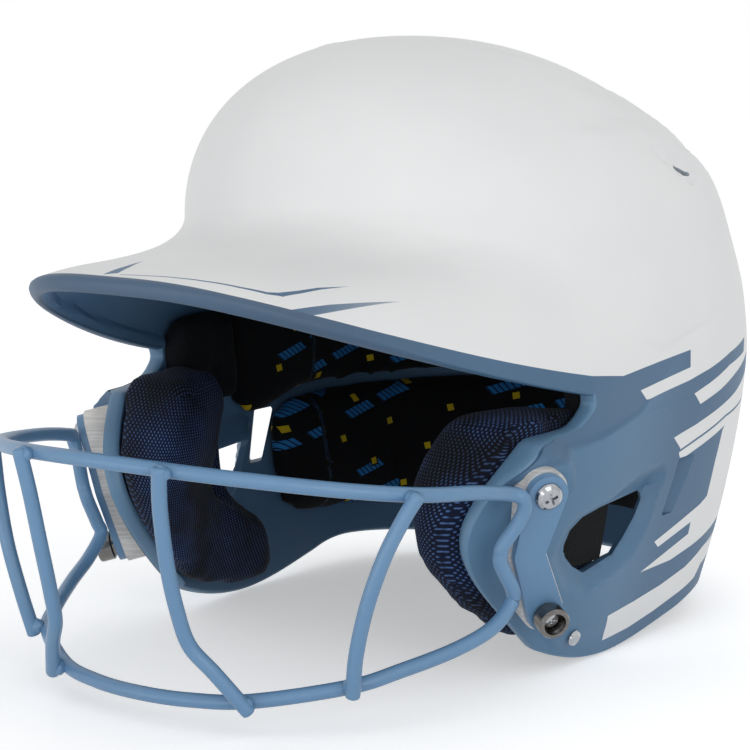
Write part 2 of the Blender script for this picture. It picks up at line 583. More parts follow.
def flapPlan(s, t):
    # a Coons patch of (e, height) between the front edge, the belt, the back and the bottom edge
    front = frontEdge(t)
    frontE, frontZ = (front[:, 0] - ringCentre(front[:, 1])) / ff["run"], front[:, 1]
    toeE = frontE[-1]
    lowE = toeE + (pi / 2 - toeE) * s
    lowZ = bottomZ(lowE)
    lowZ = lowZ + (ff["toe"] - lowZ[0]) * (1 - s) ** 6
    topE = cornerE + (pi / 2 - cornerE) * s
    backZ = sf["belt"] + (lowZ[-1] - sf["belt"]) * t
    share, fall = s[None, :], t[:, None]

    def patch(left, right, top, low):
        return (1 - share) * left[:, None] + share * right[:, None] + (1 - fall) * top[None] + fall * low[None] \
            - ((1 - share) * (1 - fall) * left[0] + share * (1 - fall) * right[0]
               + (1 - share) * fall * left[-1] + share * fall * right[-1])
    return patch(frontE, np.full(len(t), pi / 2), topE, lowE), patch(frontZ, backZ, np.full(len(s), sf["belt"]), lowZ)


def sheetNormals(points, faces):
    # area-weighted mean of the normals of the faces round each point
    a, b, c, d = (points[faces[:, k]] for k in range(4))
    n = np.cross(c - a, d - b)
    out = np.zeros_like(points)
    for k in range(4):
        np.add.at(out, faces[:, k], n)
    return unit(out)


def edgeDistance(p, corners):
    # signed distance to a closed outline in a plane, positive inside; one array step for each edge
    c = np.array(corners, float)
    least = np.full(len(p), 1e9)
    odd = np.zeros(len(p), bool)
    for k in range(len(c)):
        a, b = c[k], c[(k + 1) % len(c)]
        d = b - a
        t = np.clip(((p - a) @ d) / (d @ d), 0, 1)
        least = np.minimum(least, np.linalg.norm(p - a - t[:, None] * d, axis=1))
        crosses = (a[1] > p[:, 1]) != (b[1] > p[:, 1])
        with np.errstate(divide="ignore", invalid="ignore"):
            odd ^= crosses & (p[:, 0] < (b[0] - a[0]) * (p[:, 1] - a[1]) / (b[1] - a[1]) + a[0])
    return np.where(odd, least, -least)


relief = {
    "stepHeight": 1.6, "stepRise": 1.3, "stepFadeFrom": 40, "stepFade": 52,
    "stepLine": [(-20, -2), (3.6, 2.5), (4.9, 6.8), (9.3, 11.2), (16.6, 13.1), (41.6, 15.3), (68.1, 20.6),
                 (78.2, 26.6), (100, 40)],
    "earDepth": 5.0,
    "earOuter": [(20.4, -27.1), (24, -16), (29.8, -11.9), (39.6, -10.6), (53, -9.1), (73.2, -3), (90, -2.6),
                 (93.2, -7.4), (88.1, -16), (84.1, -26.8), (76.1, -35.6), (62.6, -39.5), (45, -42.5), (33, -40)],
    "earHole": [(88, -11.6), (56, -13.8), (43.4, -15.4), (35.5, -19), (32, -24.8), (34, -29), (39.5, -33.5),
                (46, -36.8), (66, -33.6), (73, -28.8), (81, -21.5)],
    "louvreMouth": [(99.6, -2.5), (112.4, -2.5), (104.6, -23.4), (96.2, -23.4)], "louvreRun": (0.577, 0.816, 0.0),
    "crownSteps": [
        {"line": [(12, 40), (25.6, 59.2), (47.4, 75.9), (60, 96), (66, 125), (63, 155), (50, 190)],
         "height": 1.8, "width": 3.2, "start": 50},
        {"line": [(46, 52), (58.6, 68.1), (68, 86), (73, 110), (71, 140), (60, 172)],
         "height": 1.3, "width": 2.8, "start": 62},
        {"line": [(66, 30), (75.8, 53.5), (80.1, 74.2), (80.2, 103.5), (82, 123.5), (78, 150), (66, 178)],
         "height": 2.0, "width": 3.4, "start": 48}],
    "crownFade": 22, "crownFrontFade": 26, "crownLow": 66, "crownLowFade": 30,
    "crease": [(38, 56), (84.1, 40.8), (150, 55)], "creaseDepth": 0.9, "creaseWidth": 2.4, "creaseFade": 16,
    "crownVent": [(84, 80, 114.5), (90.5, 119, 100.5)], "ventDepth": 3.0, "ventHalf": (0.8, 4.2),
    "bossClear": 2.4, "bossMost": 9, "bossSpread": 9, "bead": 1.5, "beadLevel": 3.0, "beadHalf": 3.4, "beadFrom": 150,
    "edgeStrip": [2.4, 3.0, 4.6, 6.4, 7.4],  # mm at the front, on the way and at the corner
}


def lineSide(p, line):
    # signed distance to an open line, positive on its right-hand side as it is walked
    c = np.array(line, float)
    best, side = np.full(len(p), 1e9), np.zeros(len(p))
    for k in range(len(c) - 1):
        a, d = c[k], c[k + 1] - c[k]
        t = np.clip(((p - a) @ d) / (d @ d), 0, 1)
        r = p - a - t[:, None] * d
        dist = np.linalg.norm(r, axis=1)
        s = np.sign(-(d[0] * r[:, 1] - d[1] * r[:, 0]))
        near = dist < best
        best, side = np.where(near, dist, best), np.where(near, s, side)
    return best * side


def belowStep(y, z):
    # how far a place on the side lies below the flap's step line
    line = np.array(relief["stepLine"])
    return np.interp(y, line[:, 0], line[:, 1]) - z


def reliefOf(p):
    # how far the outer skin stands off the plain surface, in mm, from each point's place; both sides alike
    x, y, z = np.abs(p[:, 0]), p[:, 1], p[:, 2]
    xy, yz, xyz = np.stack([x, y], 1), np.stack([y, z], 1), np.stack([x, y, z], 1)
    r = relief
    flank = x > 60
    step = r["stepHeight"] * smooth(belowStep(y, z) / r["stepRise"]) * smooth((y - noseY(z) - 7) / 4.5) \
        * (1 - smooth((y - r["stepFadeFrom"]) / r["stepFade"])) * smooth((z + 66) / 8)
    out = np.where(flank & (z < 34), step, 0)
    # the ear's recess deepens from its outer outline to the hole
    fromOuter = edgeDistance(yz, r["earOuter"])
    toHole = -edgeDistance(yz, r["earHole"])
    t = np.where(toHole <= 0, 1, fromOuter / np.maximum(fromOuter + toHole, 1e-6))
    ear = flank & (fromOuter > 0)
    out = np.where(ear, out * (1 - t) - r["earDepth"] * t, out)
    inward = np.where(ear, -r["earDepth"] * t, np.zeros(len(p)))
    for c in r["crownSteps"]:
        # a ledge along the line that dies away over about 25 mm
        d = lineSide(xy, c["line"])
        rise = c["height"] * smooth(0.5 + d / c["width"]) * np.exp(-(np.clip(d, 0, None) / r["crownFade"]) ** 1.5) \
            * smooth((y - c["start"]) / r["crownFrontFade"]) * smooth((z - r["crownLow"]) / r["crownLowFade"])
        out = out + np.where(z > 60, rise, 0)
    # a pad of the moulding rises to the plate behind and above the upper screw, and leaves a thin line of the spacer
    m = xyz - mountAt
    mx, my, mz = m @ mountX, m @ mountY, m @ mountZ
    lack = np.clip(-(plate["thick"] + r["bossClear"]) - mz, 0, r["bossMost"])
    reach = (1 - smooth((np.hypot(mx, my) - plate["topRadius"] - 0.5) / r["bossSpread"])) * smooth((my + 12) / 6)
    side = np.where(p[:, 0] > 0, smooth((np.maximum(mx, my) + 1) / 5), smooth((mx - 0.5) / 4.5))
    out = out + np.where(flank & (z < 34), lack * reach * side, 0)
    # a shallow crease low on the side, and the tapered recess of the upper vent
    crease = lineSide(yz, r["crease"])
    dip = r["creaseDepth"] * smooth(0.5 + crease / r["creaseWidth"]) \
        * np.exp(-np.clip(crease, 0, None) / r["creaseFade"]) * smooth((y - 46) / 26) * (1 - smooth((y - 96) / 40))
    out = out - np.where(flank & (z > 20) & (z < 70), dip, 0)
    a, b = np.array(r["crownVent"][0]), np.array(r["crownVent"][1])
    q, d = xyz - a, b - a
    t = (q @ d) / (d @ d)
    off = q - t[:, None] * d
    # across the slot, measured up the wall
    lift = np.sign(off[:, 2]) * np.linalg.norm(off, axis=1)
    half = r["ventHalf"][0] + r["ventHalf"][1] * np.clip(t, 0, 1)
    floor = r["ventDepth"] * smooth((half - np.abs(lift)) / 1.3) * np.clip(t, 0, 1) * smooth((1.03 - t) / 0.07)
    vent = (x > 50) & (t > 0)
    out = out - np.where(vent, floor, 0)
    inward = inward - np.where(vent, floor * 0.8, 0)
    # a rounded bead along the bottom edge at the nape
    above = z - bottomZ(np.where(y > 120, 1.2, 0.0))
    bead = np.sqrt(np.clip(1 - ((above - r["beadLevel"]) / r["beadHalf"]) ** 2, 0, 1))
    out = out + r["bead"] * bead * smooth((y - r["beadFrom"]) / 30)
    return out, inward


def reliefLine(p):
    # 1 on the raised flap below the step line, which is moulded a tone lighter
    return smooth(belowStep(p[:, 1], p[:, 2]) / 2.2) * (1 - smooth((p[:, 1] - 62) / 45)) * (np.abs(p[:, 0]) > 55)


def shellMesh():
    g = grid
    nv, nb = g["visorColumns"], g["beltColumns"]
    s = np.concatenate([np.linspace(0, 0.36, int(nb * 0.68) + 1), np.linspace(0.36, 1, nb - int(nb * 0.68) + 1)[1:]])
    a = np.concatenate([np.linspace(0, 1, nv + 1), np.ones(nb)])
    b = np.concatenate([np.zeros(nv + 1), s[1:]])
    t = np.linspace(0, 1, g["domeRows"] + 1)[1:]
    h = np.linspace(0, 1, g["sweepRows"] + 1)[1:]
    half = upperPoints(a, b, t, h)
    upper = np.concatenate([half, (half * [-1, 1, 1])[:, -2:0:-1]], 1)
    rows, n = upper.shape[:2]
    e, z = flapPlan(s, np.linspace(0, 1, g["flapRows"] + 1))
    left = wallPoint(e, z)
    flap = np.concatenate([left, (left * [-1, 1, 1])[:, -2::-1]], 1)[1:]
    fr, fc = flap.shape[:2]
    crown = np.array([[0, sf["ringCentre"] - sf["lean"] * sf["rise"], sf["ringLevel"] + sf["rise"]]])
    points = np.concatenate([crown, upper.reshape(-1, 3), flap.reshape(-1, 3)])
    fan = np.stack([np.zeros(n, int), 1 + (np.arange(n) + 1) % n, 1 + np.arange(n)], -1)
    quads = gridFaces(rows, n, 1, True)
    beltRow = 1 + (rows - 1) * n + nv + np.arange(fc)
    firstFlap = 1 + rows * n
    joinFaces = np.stack([beltRow[:-1], beltRow[1:], firstFlap + np.arange(1, fc), firstFlap + np.arange(fc - 1)], -1)
    quads = np.concatenate([quads, joinFaces, gridFaces(fr, fc, firstFlap)])
    # rows run downward and columns to the wearer's left, so this order faces inward and the normals are turned round
    normals = -sheetNormals(points, np.concatenate([quads, np.concatenate([fan, fan[:, 2:]], 1)]))
    out, inward = reliefOf(points)
    # the rolled lip: distance from the visor's edge along each column
    step = np.linalg.norm(np.diff(upper, axis=0), axis=-1)
    fromRim = np.concatenate([np.cumsum(step[::-1], axis=0)[::-1], np.zeros((1, n))])
    onVisor = np.minimum(np.arange(n), n - np.arange(n)) <= nv
    fromRim = np.where(onVisor[None], fromRim, 99)
    rim = np.concatenate([[99], fromRim.reshape(-1), np.full(fr * fc, 99.0)])
    # the flaps' front edges end in a thicker flange
    frontLine = np.concatenate([flap[:-2, 0], flap[:-2, -1]])
    toFront = np.full(len(points), 99.0)
    for q in frontLine[::2]:
        toFront = np.minimum(toFront, np.linalg.norm(points - q, axis=1))
    lip = (sf["lip"] - sf["wall"]) * (1 - smooth((rim - sf["lipBand"]) / 1.2))
    flange = (sf["flange"] - sf["wall"]) * (1 - smooth((toFront - sf["flangeBand"]) / 2.5))
    thick = sf["wall"] + np.maximum(lip, flange)
    outer = points + normals * out[:, None]
    inner = points - normals * thick[:, None] + normals * inward[:, None]
    total = len(points)

    def edgeLoop(k):
        # visor rim, one flap's front edge, the bottom and the other front edge; k rows or columns in from them
        rimRow = 1 + (rows - 1 - k) * n
        return np.concatenate([rimRow + np.arange(n - nv, n), rimRow + np.arange(nv + 1),
                               firstFlap + np.arange(fr) * fc + k, firstFlap + (fr - 1 - k) * fc + np.arange(1, fc),
                               firstFlap + np.arange(fr - 2, -1, -1) * fc + fc - 1 - k])
    loop, neighbour = edgeLoop(0), edgeLoop(1)
    # rounded edge: a superellipse between the two skins, standing on the tangent that leaves the sheet
    o, q = outer[loop], inner[loop]
    tangent = unit(np.roll(points[loop], -1, axis=0) - np.roll(points[loop], 1, axis=0))
    away = unit(np.cross(tangent, normals[loop]))
    sign = np.sign(np.sum(away * (points[loop] - points[neighbour]), axis=1))
    away = away * np.sign(np.median(sign))
    room = 0.85 * np.linalg.norm(points[loop] - points[neighbour], axis=1)
    flangeRound = sf["flangeRound"] + 0.8 * (1 - smooth((toFront[loop] - 2) / 4))
    radius = np.minimum(np.where(rim[loop] < 50, sf["lipRound"], flangeRound), room)[:, None]
    outer[loop] = o - away * radius
    inner[loop] = q - away * radius
    steps = g["edgeSteps"]
    ring = []
    for k in range(1, steps):
        f = 0.5 - 0.5 * math.cos(pi * k / steps)
        bulge = (1 - abs(2 * f - 1) ** 3) ** (1 / 2.4)
        ring.append(outer[loop] * (1 - f) + inner[loop] * f + away * radius * bulge)
    ring = np.array(ring)
    count = len(loop)
    base = 2 * total
    strip = np.concatenate([[loop], base + np.arange((steps - 1) * count).reshape(steps - 1, count), [loop + total]])
    j = np.arange(count)
    k = (j + 1) % count
    strips = [np.stack([strip[r][j], strip[r + 1][j], strip[r + 1][k], strip[r][k]], -1) for r in range(steps)]
    edgeQuads = np.concatenate(strips)
    everything = np.concatenate([outer, inner, ring.reshape(-1, 3)])
    innerFaces = (fan + total).tolist() + (quads + total).tolist()
    outerFaces = fan[:, ::-1].tolist() + quads[:, ::-1].tolist()
    faces = outerFaces + innerFaces + edgeQuads.tolist()
    edgeKinds = np.tile(np.where(j < 2 * nv, 0, 2), steps)
    kinds = np.concatenate([np.zeros(len(outerFaces), int), np.ones(len(innerFaces), int), edgeKinds])
    # painted strip along the visor's edge: it widens from the front to the corner
    share = np.concatenate([np.linspace(0, 1, nv + 1), np.ones(n - 2 * nv - 1), np.linspace(1, 0, nv + 1)[:-1]])
    width = np.interp(share, [0, 0.35, 0.7, 0.9, 1], relief["edgeStrip"])
    width = np.concatenate([[0], np.tile(width, rows), np.zeros(fr * fc)])
    strip = np.where(rim < 90, rim - width, 99)
    belt = (np.arange(total) > 0) & (np.arange(total) < 1 + rows * n) & (rim >= 90)
    line = np.interp(points[:, 1], [23, 33.4, 45.9, 55.7], [38.4, 37.1, 35.7, 34.5])
    strip = np.where(belt & (points[:, 1] < 52), points[:, 2] - line, strip)
    under = np.full(total, 99.0)
    under[loop] = -3.0
    # the strip is a darker tone over the front of the visor and fades out toward the corner
    front = np.concatenate([[0], np.tile(1 - smooth((share - 0.55) / 0.4), rows), np.zeros(fr * fc)])
    front = np.concatenate([front, front, np.tile(front[loop], steps - 1)])
    return everything, faces, kinds, np.concatenate([strip, under, np.full(ring.size // 3, -3.0)]), \
        np.concatenate([reliefLine(points), np.zeros(total + ring.size // 3)]), front


print("shell functions ready")

# guard mounts: local +X to the back, +Y up the plate, +Z outward, from the upper screw on the plate's outer face
mountAt = np.array([104.0, 1.3, 0.7])
mountZ = unit([0.8046, -0.5341, -0.2596])
mountZ = unit([0.8046, -0.5341, -0.2596])
mountY = np.array([0.163, -0.2215, 0.961])
mountY = unit(mountY - mountZ * (mountY @ mountZ))
mountX = np.cross(mountY, mountZ)
plate = {"thick": 3.0, "topRadius": 7.4, "stud": (1.0, -46.0)}


def onPlate(x, y, z):
    x, y, z = (np.asarray(v, float) for v in (x, y, z))
    return mountAt + x[..., None] * mountX + y[..., None] * mountY + z[..., None] * mountZ


def prism(outline, low, high, across):
    # a closed outline carried from low to high; across turns (a, b, depth) into a point
    k = len(outline)
    o = np.array(outline, float)
    ends = [across(o[:, 0], o[:, 1], np.full(k, depth)) for depth in (low, high)]
    return np.concatenate(ends), tubeFaces(k)


def roundedOutline(corners, radius, steps=5):
    # each corner of a convex outline replaced by an arc
    c = np.array(corners, float)
    out = []
    for k in range(len(c)):
        a, b = unit(c[k - 1] - c[k]), unit(c[(k + 1) % len(c)] - c[k])
        angle = math.acos(float(np.clip(a @ b, -1, 1)))
        back = radius / math.tan(angle / 2)
        p, q = c[k] + a * back, c[k] + b * back
        mid = c[k] + unit(a + b) * radius / math.sin(angle / 2)
        t = np.linspace(0, 1, steps + 1)[:, None]
        arc = unit((p - mid) * (1 - t) + (q - mid) * t) * radius + mid
        out += arc.tolist()
    return out


def circle(x, y, r, count=32):
    t = np.arange(count) / count * 2 * pi
    return np.stack([x + r * np.cos(t), y + r * np.sin(t)], 1)


def joinParts(parts):
    pts, faces, at = [], [], 0
    for p, f in parts:
        pts.append(np.asarray(p, float))
        faces += [tuple(int(i) + at for i in q) for q in f]
        at += len(p)
    return np.concatenate(pts), faces


def outwardFaces(obj):
    bm = bmesh.new()
    bm.from_mesh(obj.data)
    bmesh.ops.remove_doubles(bm, verts=bm.verts, dist=1e-6)
    bmesh.ops.recalc_face_normals(bm, faces=bm.faces)
    bm.to_mesh(obj.data)
    bm.free()


def slotParts(p, q, radius, direction, reach):
    # a round-ended slot between two points, drilled along one direction
    p, q, d = np.array(p, float), np.array(q, float), unit(direction)
    run = unit(q - p - d * float((q - p) @ d))
    side = np.cross(d, run)
    arc = [(math.cos(v) * run, math.sin(v) * side) for v in np.linspace(-pi / 2, pi / 2, 11)]
    ends = np.array([q + radius * (c + s) for c, s in arc] + [p - radius * (c + s) for c, s in arc])
    return np.concatenate([ends - d * reach, ends + d * reach]), tubeFaces(len(ends))


# rounding and lean of the openings in mm; slots by two ends, radius, drilling direction and depth each way
openings = {
    "earRound": 2.6, "earRun": (78, 104), "earLean": 0.9, "earLeanFrom": 93, "louvreRound": 1.3, "louvreX": 97,
    "louvreReach": 14, "screwHole": 2.9, "screwRun": (-30, 2),
    "slots": [((90.2, 112, 104.2), (91.6, 119.5, 101.4), 0.9, (0.8, 0.1, 0.6), 12),
              ((70, 196, 66), (58, 208, 64), 3.2, (0.72, 0.6, 0.1), 16)]}


def buildShell():
    w = openings
    points, faces, kinds, rim, lighter, front = shellMesh()
    shell = newPiece("shellMoulding", points, faces, (paint, innerBlue, rimBlue))
    shell.data.polygons.foreach_set("material_index", kinds.astype(np.int32))
    outwardFaces(shell)
    # rim distance, the visor's share and the lighter flap are kept for the paint
    for name, values in (("rimDistance", rim), ("visorPart", front), ("flapPart", lighter)):
        at = shell.data.attributes.new(name, "FLOAT", "POINT")
        at.data.foreach_set("value", values.astype(np.float32))
    hole = roundedOutline(relief["earHole"], w["earRound"], 4)
    # the hole's wall runs back as it goes in, and the rear vent is cut aslant
    lean = lambda a, b, d: np.stack([d, a + (w["earLeanFrom"] - d) * w["earLean"], b], -1)
    run = np.array(relief["louvreRun"])
    mouth = roundedOutline(relief["louvreMouth"], w["louvreRound"], 3)
    aslant = lambda a, b, d: np.stack([w["louvreX"] + 0 * a, a, b], -1) + d[:, None] * run
    parts = [prism(hole, *w["earRun"], lean), prism(mouth, -w["louvreReach"], w["louvreReach"], aslant)]
    parts += [slotParts(*slot) for slot in w["slots"]]
    for x, y in ((0, 0), plate["stud"]):
        parts.append(prism(circle(x, y, w["screwHole"]), *w["screwRun"], onPlate))
    cutPoints, cutFaces = joinParts(parts)
    cutters = []
    for side in (1, -1):
        cut = newPiece("opening", cutPoints * [side, 1, 1], cutFaces)
        outwardFaces(cut)
        cutters.append(cut)
    for cut in cutters:
        mod = shell.modifiers.new("openings", "BOOLEAN")
        mod.object, mod.operation, mod.solver = cut, "DIFFERENCE", "MANIFOLD"
    before = len(shell.data.polygons)
    toMesh(shell)
    for cut in cutters:
        bpy.data.objects.remove(cut)
    print("shell faces", before, "to", len(shell.data.polygons))
    # side plan for the paint: distance along the side, wrapped round the back behind the ring's centre, and height
    p = pointsOf(shell)
    c = ringCentre(p[:, 2])
    level = np.minimum(p[:, 2], 140)
    halfX, halfY = halfWidth(level), halfLength(level)
    turn = np.arctan2(np.clip(p[:, 1] - c, 0, None) / halfY, np.abs(p[:, 0]) / halfX)
    f = np.linspace(0, 1, 25)[:, None] * turn[None]
    arc = np.trapz(np.hypot(halfX * np.sin(f), halfY * np.cos(f)), f, axis=0)
    u = np.where(p[:, 1] > c, c + arc, p[:, 1])
    keepPlan(shell, "paintPlan", np.stack([u, p[:, 2]], 1)[valuesOf(shell.data.loops, "vertex_index", 1, np.int32)])
    shade(shell, 32)
    keep(shell, ("helmet_shell",))


buildShell()

# pads: each follows the shell a little inside it, crowned and drawn in at the corners
padForm = {"gap": 1.0, "liner": 12.0, "bolster": 16.0, "tape": 2.6, "voxel": 4.5, "pressure": 4.0, "cap": 2.2,
           "frames": 20, "held": 4.2, "stiffness": 18, "bending": 0.8}
jawForm = {"top": 24, "tall": 84, "footDrop": 4.5, "back": 62, "footBack": 20, "face": 50.5, "block": 36,
           "thin": 7, "thick": 12}


def roundedSquare(u, v):
    x, y = 2 * u - 1, 2 * v - 1
    return 0.5 + x * np.sqrt(1 - 0.16 * y ** 6) / 2, 0.5 + y * np.sqrt(1 - 0.16 * x ** 6) / 2


def crowned(u, v, channels=0):
    x, y = np.clip(2 * u - 1, -1, 1), np.clip(2 * v - 1, -1, 1)
    top = np.sqrt(np.clip((1 - np.abs(x) ** 7) * (1 - np.abs(y) ** 7), 0, None))
    return top * (1 - 0.30 * np.abs(np.cos(pi * channels * u)) ** 24 * (channels > 0))


def inwardOf(pointAt, a, b, da, db):
    n = np.cross(pointAt(a + da, b) - pointAt(a - da, b), pointAt(a, b + db) - pointAt(a, b - db))
    return unit(n)


def patchPad(pointAt, aSpan, bSpan, thick, cells, channels, step, sign):
    # outer face on the surface pointAt(a, b), inner face raised off it by the crowned thickness
    v, u = shareGrid(*cells)
    ru, rv = roundedSquare(u, v)
    a, b = aSpan[0] + (aSpan[1] - aSpan[0]) * ru, bSpan[0] + (bSpan[1] - bSpan[0]) * rv
    n = inwardOf(pointAt, a, b, *step) * sign
    outer = pointAt(a, b) + n * (sf["wall"] + padForm["gap"])
    return outer, outer + n * (thick * (0.25 + 0.75 * crowned(u, v, channels)))[..., None]


def closedPad(outer, inner):
    rows, cols = outer.shape[:2]
    k = rows * cols
    front = gridFaces(rows, cols)
    loop = np.concatenate([np.arange(cols), np.arange(1, rows) * cols + cols - 1,
                           (rows - 1) * cols + np.arange(cols - 2, -1, -1), np.arange(rows - 2, 0, -1) * cols])
    j = np.roll(loop, -1)
    faces = front.tolist() + (front[:, ::-1] + k).tolist() + np.stack([j, loop, loop + k, j + k], 1).tolist()
    return np.concatenate([outer.reshape(-1, 3), inner.reshape(-1, 3)]), faces


def flapWall(e, z):
    # the wall below the belt with both halves of the back
    e = np.asarray(e, float)
    over = e > pi / 2
    p = wallPoint(np.where(over, pi - e, e), z)
    return p * np.stack([np.where(over, -1, 1), np.ones_like(e), np.ones_like(e)], -1)


def sweptSkin(c, r):
    # the shell's skin by its column (0 front centre, 1 visor corner, 2 back) and row (0 crown, 1 dome's end, 2 belt)
    c, r = np.broadcast_arrays(np.asarray(c, float), np.asarray(r, float))
    column, row = c.reshape(-1), r.reshape(-1)
    p = sweepPoints(np.clip(column, 0, 1), np.clip(column - 1, 0, 1), (row - 1)[:, None], 0.9)
    return p.reshape(c.shape + (3,))


def sideSkin(c, r):
    # the same skin carried on below the belt: each row past 2 is 40 mm down the wall
    c, r = np.broadcast_arrays(np.asarray(c, float), np.asarray(r, float))
    low = wallPoint(cornerE + (pi / 2 - cornerE) * (c - 1), sf["belt"] - (r - 2) * 40)
    return np.where((r > 2)[..., None], low, sweptSkin(c, np.minimum(r, 2)))


def sideFall(e, z):
    # the wall below the belt, with the pad's lower edge falling toward the front
    return flapWall(e, z - 11.5 * (1 - smooth((e + 0.40) / 0.42)) * np.clip((42.6 - z) / 39.2, 0, 1) ** 2)


def templeFall(c, r):
    # the side skin, with the pad's lower edge falling behind the jaw pad
    return sideSkin(c, r + 0.28 * smooth((c - 1.08) / 0.04) * smooth((r - 1.9) / 0.45))


def capPoint(x, y):
    # crown of the dome by a square's x and y, 27 degrees of its superellipse to the edge
    return crownPoint(np.arctan2(y, x), pi / 2 - math.radians(27) * np.hypot(x, y))


def jawGrids(rows, cols):
    # a thick block behind the flap's front edge, its foot reaching further back, and a thin tail over the tape
    v, u = shareGrid(rows, cols)
    ru, rv = roundedSquare(u, v)
    z = jawForm["top"] + (-jawForm["tall"] - jawForm["footDrop"] * smooth((ru - 0.2) / 0.3)) * rv
    y0 = noseY(np.minimum(z, 14)) - 0.3
    block = jawForm["block"] + 6 * smooth((z + 2) / 14) + 42 * smooth((-20 - z) / 28)
    y1 = jawForm["back"] + jawForm["footBack"] * smooth((-28 - z) / 18)
    y = y0 + (y1 - y0) * ru
    s = np.hypot((wallX(y + 1, z) - wallX(y - 1, z)) / 2, (wallX(y, z + 1) - wallX(y, z - 1)) / 2)
    overTape = (padForm["tape"] + padForm["gap"] - 1.6) * smooth((y - 18) / 10)
    x = wallX(y, z) - (sf["wall"] + padForm["gap"] + 2.0 + overTape) * np.sqrt(1 + s ** 2)
    slant = 0.36 - 0.24 * smooth((-15 - z) / 30)
    face = jawForm["face"] + 5 * smooth((2 - z) / 22) + 5.5 * smooth((-22 - z) / 25)
    thick = np.maximum(jawForm["thick"], x - face - slant * np.maximum(0, y - 6))
    thick = jawForm["thin"] + (thick - jawForm["thin"]) * smooth((block + 2 - y) / 7)
    thick = thick * (0.72 + 0.28 * crowned(u, v))
    return np.stack([x, y, z], -1), np.stack([x - thick, y, z], -1)


def swell(obj, pinned):
    # remesh, then Cloth with inner pressure; points on the wall side are held, and no point moves past the cap
    mod = obj.modifiers.new("even", "REMESH")
    mod.mode, mod.voxel_size = "VOXEL", padForm["voxel"] * 0.001
    toMesh(obj)
    start = valuesOf(obj.data.vertices, "co", 3)
    tree = KDTree(len(pinned))
    for i, q in enumerate(metres(pinned).tolist()):
        tree.insert(q, i)
    tree.balance()
    near = np.array([tree.find(q)[2] for q in start.tolist()])
    group = obj.vertex_groups.new(name="held")
    group.add([int(i) for i in np.nonzero(near < padForm["held"] * 0.001)[0]], 1.0, "REPLACE")
    c = obj.modifiers.new("cloth", "CLOTH").settings
    c.use_pressure, c.uniform_pressure_force = True, padForm["pressure"]
    c.effector_weights.gravity = 0
    c.vertex_group_mass = "held"
    c.tension_stiffness = c.compression_stiffness = padForm["stiffness"]
    c.bending_stiffness = padForm["bending"]
    c.quality = 5
    scene = bpy.context.scene
    scene.frame_start, scene.frame_end = 1, padForm["frames"]
    for f in range(1, padForm["frames"] + 1):
        scene.frame_set(f)
    toMesh(obj)
    scene.frame_set(1)
    move = valuesOf(obj.data.vertices, "co", 3) - start
    far = np.linalg.norm(move, axis=1, keepdims=True)
    setPlaces(obj, start + move * np.minimum(1, padForm["cap"] * 0.001 / np.maximum(far, 1e-9)))
    obj.data.update()
    mod = obj.modifiers.new("finer", "SUBSURF")
    mod.levels = mod.render_levels = 1
    toMesh(obj)

def clothPlan(obj, kind):
    # unrolled coordinates for the weave, in metres: along the pad and up it
    p = pointsOf(obj)
    x, y, z = np.abs(p[:, 0]), p[:, 1], p[:, 2]
    if kind == "jaw":
        # round the front and inner faces by depth from the wall plus length, the ends by depth and length
        deep = wallX(y, z) - x
        u, v = y - noseY(z) + deep, z
    elif kind == "round":
        c = ringCentre(np.minimum(z, 60))
        u, v = np.arctan2(p[:, 1] - c, p[:, 0]) * 95, z
    else:
        u, v = p[:, 0], p[:, 1]
    plan = np.stack([u, v], 1)
    corners = valuesOf(obj.data.loops, "vertex_index", 1, np.int32)
    plan = plan[corners]
    if kind == "jaw":
        normal = valuesOf(obj.data.polygons, "normal", 3)
        total = valuesOf(obj.data.polygons, "loop_total", 1, np.int32)
        level = np.repeat(np.abs(normal[:, 2]) > 0.72, total)
        plan = np.where(level[:, None], np.stack([deep, y], 1)[corners], plan)
    keepPlan(obj, "clothPlan", plan)


def makePad(name, outer, inner, cloth, plan, nodeNames):
    # the pad and, where a second node is named, its mirrored copy
    points, faces = closedPad(outer, inner)
    pad = newPiece(name, points, faces, (cloth,))
    outwardFaces(pad)
    swell(pad, outer.reshape(-1, 3))
    made = [pad]
    if len(nodeNames) > 1:
        other = addObject(name.replace("left", "right"), pad.data.copy())
        setPlaces(other, valuesOf(other.data.vertices, "co", 3) * [-1, 1, 1])
        other.data.flip_normals()
        made.append(other)
    for obj, node in zip(made, nodeNames):
        clothPlan(obj, plan)
        shade(obj, 60)
        keep(obj, (node,))


